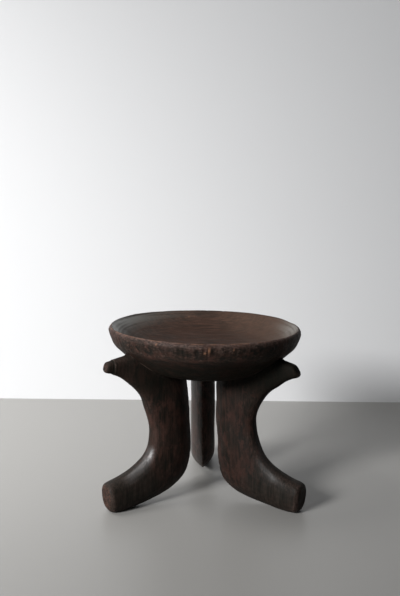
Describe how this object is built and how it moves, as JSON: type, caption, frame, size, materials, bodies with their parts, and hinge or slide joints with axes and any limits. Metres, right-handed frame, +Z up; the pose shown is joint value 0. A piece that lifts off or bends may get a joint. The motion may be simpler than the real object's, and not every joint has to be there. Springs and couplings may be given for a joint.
{
  "type": "stool",
  "caption": "Low carved wooden stool: a round dished seat with a raised rim over C-shaped legs, each with a spur under the rim and a foot that sweeps out to the floor.",
  "frame": {"origin": "middle of the part's box, on the floor that the feet stand on", "axes": "+Z up out of the dished seat, +Y towards the back leg, and the two front legs point towards -Y to either side"},
  "size_m": [0.3086, 0.3236, 0.2719],
  "materials": {
    "dark_wood": "dark, hand-rubbed, satin with worn edges"
  },
  "bodies": {
    "root": {"seat": "dark_wood", "leg_left": "dark_wood", "leg_right": "dark_wood", "leg_back": "dark_wood"}
  },
  "joints": []
}
